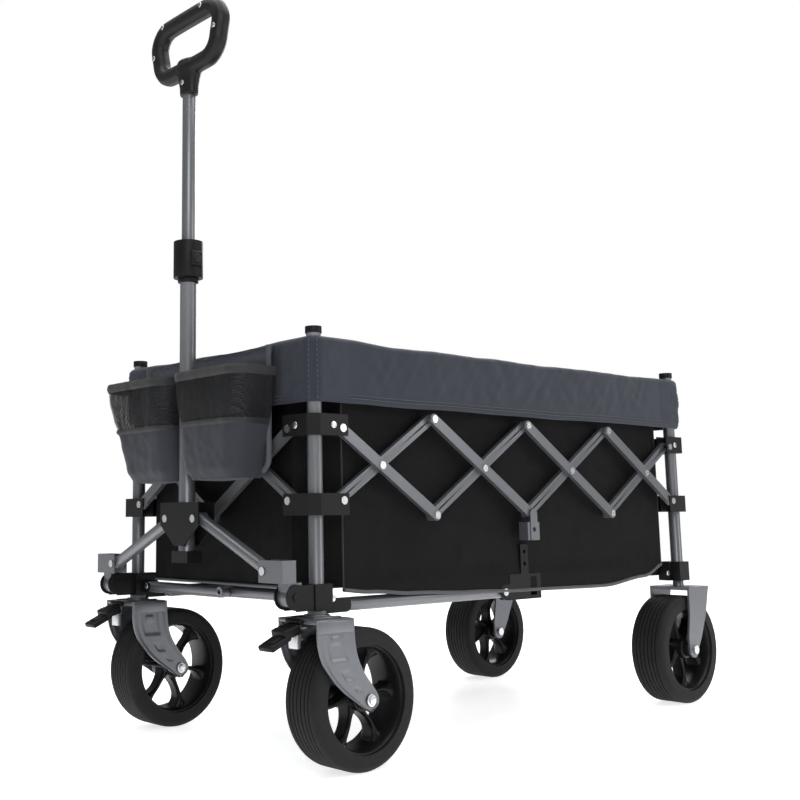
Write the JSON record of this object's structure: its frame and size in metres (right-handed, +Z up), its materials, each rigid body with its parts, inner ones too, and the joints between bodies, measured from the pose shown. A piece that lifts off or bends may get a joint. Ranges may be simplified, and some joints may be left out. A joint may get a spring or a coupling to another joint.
{
  "type": "folding camp wagon",
  "caption": "Folding camp wagon with a scissor frame, open fabric basket, swivelling front wheels, front organizer and a telescopic pull handle.",
  "frame": {"origin": "centre of the wagon's box on the ground it stands on", "axes": "+X from the handle end toward the rear, +Y toward the right side, +Z up"},
  "size_m": [1.1244, 0.5674, 1.205],
  "materials": {
    "tyre_rubber": "matte",
    "dark_metal": "satin",
    "black_plastic": "satin",
    "bar_metal": "satin",
    "grey_metal": "satin",
    "plated_metal": "satin",
    "basket_fabric": "woven",
    "organizer_fabric": "woven"
  },
  "bodies": {
    "front_left_corner": {"front_left_corner": "dark_metal", "basket": "basket_fabric", "organizer": "organizer_fabric"},
    "left_bar_a1": {"left_bar_a1": "bar_metal"},
    "left_bar_b1": {"left_bar_b1": "bar_metal"},
    "left_bar_b2": {"left_bar_b2": "bar_metal"},
    "left_bar_a2": {"left_bar_a2": "bar_metal"},
    "left_bar_a3": {"left_bar_a3": "bar_metal"},
    "left_bar_b3": {"left_bar_b3": "bar_metal"},
    "left_bar_b4": {"left_bar_b4": "bar_metal"},
    "left_bar_a4": {"left_bar_a4": "bar_metal"},
    "rear_left_corner": {"rear_left_corner": "dark_metal"},
    "front_left_slider": {"front_left_slider": "black_plastic"},
    "rear_left_slider": {"rear_left_slider": "black_plastic"},
    "left_drop_strap": {"left_drop_strap": "plated_metal"},
    "front_bar_a1": {"front_bar_a1": "bar_metal"},
    "front_bar_b1": {"front_bar_b1": "bar_metal"},
    "front_bar_b2": {"front_bar_b2": "bar_metal"},
    "front_bar_a2": {"front_bar_a2": "bar_metal"},
    "front_right_corner": {"front_right_corner": "dark_metal"},
    "right_bar_a1": {"right_bar_a1": "bar_metal"},
    "right_bar_b1": {"right_bar_b1": "bar_metal"},
    "right_bar_b2": {"right_bar_b2": "bar_metal"},
    "right_bar_a2": {"right_bar_a2": "bar_metal"},
    "right_bar_a3": {"right_bar_a3": "bar_metal"},
    "right_bar_b3": {"right_bar_b3": "bar_metal"},
    "right_bar_b4": {"right_bar_b4": "bar_metal"},
    "right_bar_a4": {"right_bar_a4": "bar_metal"},
    "rear_right_corner": {"rear_right_corner": "dark_metal"},
    "front_right_slider": {"front_right_slider": "black_plastic"},
    "rear_right_slider": {"rear_right_slider": "black_plastic"},
    "right_drop_strap": {"right_drop_strap": "plated_metal"},
    "rear_bar_a1": {"rear_bar_a1": "bar_metal"},
    "rear_bar_b1": {"rear_bar_b1": "bar_metal"},
    "rear_bar_b2": {"rear_bar_b2": "bar_metal"},
    "rear_bar_a2": {"rear_bar_a2": "bar_metal"},
    "left_front_rail": {"left_front_rail": "grey_metal"},
    "left_rear_rail": {"left_rear_rail": "grey_metal"},
    "left_mid_bracket": {"left_mid_bracket": "black_plastic"},
    "left_cross_rail": {"left_cross_rail": "grey_metal"},
    "right_front_rail": {"right_front_rail": "grey_metal"},
    "right_rear_rail": {"right_rear_rail": "grey_metal"},
    "right_mid_bracket": {"right_mid_bracket": "black_plastic"},
    "right_cross_rail": {"right_cross_rail": "grey_metal"},
    "left_handle_foot": {"left_handle_foot": "grey_metal"},
    "right_handle_foot": {"right_handle_foot": "grey_metal"},
    "left_handle_strut": {"left_handle_strut": "grey_metal"},
    "handle_lower_tube": {"handle_lower_tube": "grey_metal"},
    "right_handle_strut": {"right_handle_strut": "grey_metal"},
    "handle_upper_tube": {"handle_upper_tube": "grey_metal", "handle_grip": "black_plastic"},
    "handle_button": {"handle_button": "black_plastic"},
    "front_left_fork": {"front_left_fork": "dark_metal"},
    "front_left_wheel": {"front_left_wheel": "tyre_rubber"},
    "rear_left_wheel": {"rear_left_wheel": "tyre_rubber"},
    "left_brake_pedal": {"left_brake_pedal": "dark_metal"},
    "front_right_fork": {"front_right_fork": "dark_metal"},
    "front_right_wheel": {"front_right_wheel": "tyre_rubber"},
    "rear_right_wheel": {"rear_right_wheel": "tyre_rubber"},
    "right_brake_pedal": {"right_brake_pedal": "dark_metal"}
  },
  "joints": [
    {"name": "fold", "type": "hinge", "parent": "front_left_corner", "child": "left_bar_a1", "pos_m": [-0.42158, -0.23673, 0.486], "axis": [0, 1, 0], "range_deg": [0, 43], "deforming": ["basket", "organizer"]},
    {"name": "left_bar_b1_pivot", "type": "hinge", "parent": "left_bar_a1", "child": "left_bar_b1", "pos_m": [-0.33892, -0.23673, 0.43334], "axis": [0, 1, 0], "range_deg": [-86.5, 0]},
    {"name": "left_bar_b2_pivot", "type": "hinge", "parent": "left_bar_a1", "child": "left_bar_b2", "pos_m": [-0.22085, -0.23673, 0.35812], "axis": [0, 1, 0], "range_deg": [-86.5, 0]},
    {"name": "left_bar_a2_pivot", "type": "hinge", "parent": "left_bar_b2", "child": "left_bar_a2", "pos_m": [-0.10278, -0.23673, 0.43334], "axis": [0, 1, 0], "range_deg": [0, 86.5]},
    {"name": "left_bar_a3_pivot", "type": "hinge", "parent": "left_bar_b2", "child": "left_bar_a3", "pos_m": [0.0153, -0.23673, 0.50857], "axis": [0, 1, 0], "range_deg": [0, 86.5]},
    {"name": "left_bar_b3_pivot", "type": "hinge", "parent": "left_bar_a3", "child": "left_bar_b3", "pos_m": [0.13337, -0.23673, 0.43334], "axis": [0, 1, 0], "range_deg": [-86.5, 0]},
    {"name": "left_bar_b4_pivot", "type": "hinge", "parent": "left_bar_a3", "child": "left_bar_b4", "pos_m": [0.25145, -0.23673, 0.35812], "axis": [0, 1, 0], "range_deg": [-86.5, 0]},
    {"name": "left_bar_a4_pivot", "type": "hinge", "parent": "left_bar_b4", "child": "left_bar_a4", "pos_m": [0.36952, -0.23673, 0.43334], "axis": [0, 1, 0], "range_deg": [0, 86.5]},
    {"name": "rear_left_corner_pivot", "type": "hinge", "parent": "left_bar_b4", "child": "rear_left_corner", "pos_m": [0.45218, -0.23673, 0.486], "axis": [0, 1, 0], "range_deg": [0, 43.5]},
    {"name": "front_left_slider_pivot", "type": "hinge", "parent": "left_bar_b1", "child": "front_left_slider", "pos_m": [-0.42158, -0.23673, 0.38069], "axis": [0, 1, 0], "range_deg": [0, 43.5]},
    {"name": "rear_left_slider_pivot", "type": "hinge", "parent": "left_bar_a4", "child": "rear_left_slider", "pos_m": [0.45218, -0.23673, 0.38069], "axis": [0, 1, 0], "range_deg": [-43.5, 0]},
    {"name": "left_drop_strap_pivot", "type": "hinge", "parent": "left_bar_a2", "child": "left_drop_strap", "pos_m": [0.0153, -0.23673, 0.35812], "axis": [0, 1, 0], "range_deg": [-43.5, 0]},
    {"name": "front_bar_a1_pivot", "type": "hinge", "parent": "front_left_corner", "child": "front_bar_a1", "pos_m": [-0.45758, -0.20073, 0.486], "axis": [-1, 0, 0], "range_deg": [0, 43.5]},
    {"name": "front_bar_b1_pivot", "type": "hinge", "parent": "front_bar_a1", "child": "front_bar_b1", "pos_m": [-0.45758, -0.11807, 0.43334], "axis": [-1, 0, 0], "range_deg": [-86.5, 0]},
    {"name": "front_bar_b2_pivot", "type": "hinge", "parent": "front_bar_a1", "child": "front_bar_b2", "pos_m": [-0.45758, 0, 0.35812], "axis": [-1, 0, 0], "range_deg": [-86.5, 0]},
    {"name": "front_bar_a2_pivot", "type": "hinge", "parent": "front_bar_b2", "child": "front_bar_a2", "pos_m": [-0.45758, 0.11807, 0.43334], "axis": [-1, 0, 0], "range_deg": [0, 86.5]},
    {"name": "front_right_corner_pivot", "type": "hinge", "parent": "front_bar_b2", "child": "front_right_corner", "pos_m": [-0.45758, 0.20073, 0.486], "axis": [-1, 0, 0], "range_deg": [0, 43.5]},
    {"name": "right_bar_a1_pivot", "type": "hinge", "parent": "front_right_corner", "child": "right_bar_a1", "pos_m": [-0.42158, 0.23673, 0.486], "axis": [0, 1, 0], "range_deg": [0, 43.5]},
    {"name": "right_bar_b1_pivot", "type": "hinge", "parent": "right_bar_a1", "child": "right_bar_b1", "pos_m": [-0.33892, 0.23673, 0.43334], "axis": [0, 1, 0], "range_deg": [-86.5, 0]},
    {"name": "right_bar_b2_pivot", "type": "hinge", "parent": "right_bar_a1", "child": "right_bar_b2", "pos_m": [-0.22085, 0.23673, 0.35812], "axis": [0, 1, 0], "range_deg": [-86.5, 0]},
    {"name": "right_bar_a2_pivot", "type": "hinge", "parent": "right_bar_b2", "child": "right_bar_a2", "pos_m": [-0.10278, 0.23673, 0.43334], "axis": [0, 1, 0], "range_deg": [0, 86.5]},
    {"name": "right_bar_a3_pivot", "type": "hinge", "parent": "right_bar_b2", "child": "right_bar_a3", "pos_m": [0.0153, 0.23673, 0.50857], "axis": [0, 1, 0], "range_deg": [0, 86.5]},
    {"name": "right_bar_b3_pivot", "type": "hinge", "parent": "right_bar_a3", "child": "right_bar_b3", "pos_m": [0.13337, 0.23673, 0.43334], "axis": [0, 1, 0], "range_deg": [-86.5, 0]},
    {"name": "right_bar_b4_pivot", "type": "hinge", "parent": "right_bar_a3", "child": "right_bar_b4", "pos_m": [0.25145, 0.23673, 0.35812], "axis": [0, 1, 0], "range_deg": [-86.5, 0]},
    {"name": "right_bar_a4_pivot", "type": "hinge", "parent": "right_bar_b4", "child": "right_bar_a4", "pos_m": [0.36952, 0.23673, 0.43334], "axis": [0, 1, 0], "range_deg": [0, 86.5]},
    {"name": "rear_right_corner_pivot", "type": "hinge", "parent": "right_bar_b4", "child": "rear_right_corner", "pos_m": [0.45218, 0.23673, 0.486], "axis": [0, 1, 0], "range_deg": [0, 43.5]},
    {"name": "front_right_slider_pivot", "type": "hinge", "parent": "right_bar_b1", "child": "front_right_slider", "pos_m": [-0.42158, 0.23673, 0.38069], "axis": [0, 1, 0], "range_deg": [0, 43.5]},
    {"name": "rear_right_slider_pivot", "type": "hinge", "parent": "right_bar_a4", "child": "rear_right_slider", "pos_m": [0.45218, 0.23673, 0.38069], "axis": [0, 1, 0], "range_deg": [-43.5, 0]},
    {"name": "right_drop_strap_pivot", "type": "hinge", "parent": "right_bar_a2", "child": "right_drop_strap", "pos_m": [0.0153, 0.23673, 0.35812], "axis": [0, 1, 0], "range_deg": [-43.5, 0]},
    {"name": "rear_bar_a1_pivot", "type": "hinge", "parent": "rear_left_corner", "child": "rear_bar_a1", "pos_m": [0.48818, -0.20073, 0.486], "axis": [-1, 0, 0], "range_deg": [0, 43.5]},
    {"name": "rear_bar_b1_pivot", "type": "hinge", "parent": "rear_bar_a1", "child": "rear_bar_b1", "pos_m": [0.48818, -0.11807, 0.43334], "axis": [-1, 0, 0], "range_deg": [-86.5, 0]},
    {"name": "rear_bar_b2_pivot", "type": "hinge", "parent": "rear_bar_a1", "child": "rear_bar_b2", "pos_m": [0.48818, 0, 0.35812], "axis": [-1, 0, 0], "range_deg": [-86.5, 0]},
    {"name": "rear_bar_a2_pivot", "type": "hinge", "parent": "rear_bar_b2", "child": "rear_bar_a2", "pos_m": [0.48818, 0.11807, 0.43334], "axis": [-1, 0, 0], "range_deg": [0, 86.5]},
    {"name": "left_front_rail_pivot", "type": "hinge", "parent": "front_left_corner", "child": "left_front_rail", "pos_m": [-0.39958, -0.23673, 0.23], "axis": [0, -1, 0], "range_deg": [0, 81.81]},
    {"name": "left_rear_rail_pivot", "type": "hinge", "parent": "rear_left_corner", "child": "left_rear_rail", "pos_m": [0.43018, -0.23673, 0.247], "axis": [0, 1, 0], "range_deg": [0, 81.81]},
    {"name": "left_mid_bracket_pivot", "type": "hinge", "parent": "left_front_rail", "child": "left_mid_bracket", "pos_m": [-0.0377, -0.23673, 0.23], "axis": [0, 1, 0], "range_deg": [0, 81.81]},
    {"name": "left_cross_rail_pivot", "type": "hinge", "parent": "front_left_corner", "child": "left_cross_rail", "pos_m": [-0.43758, -0.20673, 0.24], "axis": [1, 0, 0], "range_deg": [0, 72]},
    {"name": "right_front_rail_pivot", "type": "hinge", "parent": "front_right_corner", "child": "right_front_rail", "pos_m": [-0.39958, 0.23673, 0.23], "axis": [0, -1, 0], "range_deg": [0, 81.81]},
    {"name": "right_rear_rail_pivot", "type": "hinge", "parent": "rear_right_corner", "child": "right_rear_rail", "pos_m": [0.43018, 0.23673, 0.247], "axis": [0, 1, 0], "range_deg": [0, 81.81]},
    {"name": "right_mid_bracket_pivot", "type": "hinge", "parent": "right_front_rail", "child": "right_mid_bracket", "pos_m": [-0.0377, 0.23673, 0.23], "axis": [0, 1, 0], "range_deg": [0, 81.81]},
    {"name": "right_cross_rail_pivot", "type": "hinge", "parent": "front_right_corner", "child": "right_cross_rail", "pos_m": [-0.43758, 0.20673, 0.24], "axis": [-1, 0, 0], "range_deg": [0, 72]},
    {"name": "handle_tilt", "type": "hinge", "parent": "front_left_corner", "child": "left_handle_foot", "pos_m": [-0.50708, -0.23673, 0.2465], "axis": [0, -1, 0], "range_deg": [0, 80]},
    {"name": "right_handle_foot_tilt", "type": "hinge", "parent": "front_right_corner", "child": "right_handle_foot", "pos_m": [-0.50708, 0.23673, 0.2465], "axis": [0, -1, 0], "range_deg": [0, 80.5]},
    {"name": "left_handle_strut_pivot", "type": "hinge", "parent": "left_handle_foot", "child": "left_handle_strut", "pos_m": [-0.51858, -0.20473, 0.282], "axis": [1, 0, 0], "range_deg": [0, 58.38]},
    {"name": "handle_lower_tube_pivot", "type": "hinge", "parent": "left_handle_strut", "child": "handle_lower_tube", "pos_m": [-0.51858, -0.038, 0.35644], "axis": [1, 0, 0], "range_deg": [-58.38, 0]},
    {"name": "right_handle_strut_pivot", "type": "hinge", "parent": "handle_lower_tube", "child": "right_handle_strut", "pos_m": [-0.51858, 0.038, 0.35644], "axis": [1, 0, 0], "range_deg": [-58.38, 0]},
    {"name": "handle_slide", "type": "slide", "parent": "handle_lower_tube", "child": "handle_upper_tube", "axis": [0, 0, 1], "range_m": [-0.24, 0]},
    {"name": "handle_button_press", "type": "slide", "parent": "handle_lower_tube", "child": "handle_button", "axis": [0, 1, 0], "range_m": [0, 0.004], "stiffness_N_per_m": 300, "springref_m": -0.002},
    {"name": "front_left_swivel", "type": "hinge", "parent": "front_left_corner", "child": "front_left_fork", "pos_m": [-0.45758, -0.23673, 0.22], "axis": [0, 0, 1], "continuous": true},
    {"name": "front_left_wheel_spin", "type": "hinge", "parent": "front_left_fork", "child": "front_left_wheel", "pos_m": [-0.39358, -0.23673, 0.1], "axis": [0, 1, 0], "continuous": true},
    {"name": "rear_left_wheel_spin", "type": "hinge", "parent": "rear_left_corner", "child": "rear_left_wheel", "pos_m": [0.46218, -0.23673, 0.1], "axis": [0, 1, 0], "continuous": true},
    {"name": "left_brake_press", "type": "hinge", "parent": "front_left_fork", "child": "left_brake_pedal", "pos_m": [-0.49908, -0.23673, 0.213], "axis": [0, -1, 0], "range_deg": [0, 8]},
    {"name": "front_right_swivel", "type": "hinge", "parent": "front_right_corner", "child": "front_right_fork", "pos_m": [-0.45758, 0.23673, 0.22], "axis": [0, 0, 1], "continuous": true},
    {"name": "front_right_wheel_spin", "type": "hinge", "parent": "front_right_fork", "child": "front_right_wheel", "pos_m": [-0.39358, 0.23673, 0.1], "axis": [0, 1, 0], "continuous": true},
    {"name": "rear_right_wheel_spin", "type": "hinge", "parent": "rear_right_corner", "child": "rear_right_wheel", "pos_m": [0.46218, 0.23673, 0.1], "axis": [0, 1, 0], "continuous": true},
    {"name": "right_brake_press", "type": "hinge", "parent": "front_right_fork", "child": "right_brake_pedal", "pos_m": [-0.49908, 0.23673, 0.213], "axis": [0, -1, 0], "range_deg": [0, 8]}
  ],
  "couplings": [
    {"joint": "left_bar_b1_pivot", "follows": "fold", "ratio": -2},
    {"joint": "left_bar_b2_pivot", "follows": "fold", "ratio": -2},
    {"joint": "left_bar_a2_pivot", "follows": "fold", "ratio": 2},
    {"joint": "left_bar_a3_pivot", "follows": "fold", "ratio": 2},
    {"joint": "left_bar_b3_pivot", "follows": "fold", "ratio": -2},
    {"joint": "left_bar_b4_pivot", "follows": "fold", "ratio": -2},
    {"joint": "left_bar_a4_pivot", "follows": "fold", "ratio": 2},
    {"joint": "rear_left_corner_pivot", "follows": "fold", "ratio": 1},
    {"joint": "front_left_slider_pivot", "follows": "fold", "ratio": 1},
    {"joint": "rear_left_slider_pivot", "follows": "fold", "ratio": -1},
    {"joint": "left_drop_strap_pivot", "follows": "fold", "ratio": -1},
    {"joint": "front_bar_a1_pivot", "follows": "fold", "ratio": 1},
    {"joint": "front_bar_b1_pivot", "follows": "fold", "ratio": -2},
    {"joint": "front_bar_b2_pivot", "follows": "fold", "ratio": -2},
    {"joint": "front_bar_a2_pivot", "follows": "fold", "ratio": 2},
    {"joint": "front_right_corner_pivot", "follows": "fold", "ratio": 1},
    {"joint": "right_bar_a1_pivot", "follows": "fold", "ratio": 1},
    {"joint": "right_bar_b1_pivot", "follows": "fold", "ratio": -2},
    {"joint": "right_bar_b2_pivot", "follows": "fold", "ratio": -2},
    {"joint": "right_bar_a2_pivot", "follows": "fold", "ratio": 2},
    {"joint": "right_bar_a3_pivot", "follows": "fold", "ratio": 2},
    {"joint": "right_bar_b3_pivot", "follows": "fold", "ratio": -2},
    {"joint": "right_bar_b4_pivot", "follows": "fold", "ratio": -2},
    {"joint": "right_bar_a4_pivot", "follows": "fold", "ratio": 2},
    {"joint": "rear_right_corner_pivot", "follows": "fold", "ratio": 1},
    {"joint": "front_right_slider_pivot", "follows": "fold", "ratio": 1},
    {"joint": "rear_right_slider_pivot", "follows": "fold", "ratio": -1},
    {"joint": "right_drop_strap_pivot", "follows": "fold", "ratio": -1},
    {"joint": "rear_bar_a1_pivot", "follows": "fold", "ratio": 1},
    {"joint": "rear_bar_b1_pivot", "follows": "fold", "ratio": -2},
    {"joint": "rear_bar_b2_pivot", "follows": "fold", "ratio": -2},
    {"joint": "rear_bar_a2_pivot", "follows": "fold", "ratio": 2},
    {"joint": "left_front_rail_pivot", "follows": "fold", "ratio": 1.8908},
    {"joint": "left_rear_rail_pivot", "follows": "fold", "ratio": 1.8908},
    {"joint": "left_mid_bracket_pivot", "follows": "fold", "ratio": 1.8908},
    {"joint": "left_cross_rail_pivot", "follows": "fold", "ratio": 1.6628},
    {"joint": "right_front_rail_pivot", "follows": "fold", "ratio": 1.8908},
    {"joint": "right_rear_rail_pivot", "follows": "fold", "ratio": 1.8908},
    {"joint": "right_mid_bracket_pivot", "follows": "fold", "ratio": 1.8908},
    {"joint": "right_cross_rail_pivot", "follows": "fold", "ratio": 1.6628},
    {"joint": "right_handle_foot_tilt", "follows": "handle_tilt", "ratio": 1},
    {"joint": "left_handle_strut_pivot", "follows": "fold", "ratio": 1.3461},
    {"joint": "handle_lower_tube_pivot", "follows": "fold", "ratio": -1.3461},
    {"joint": "right_handle_strut_pivot", "follows": "fold", "ratio": -1.3461}
  ]
}
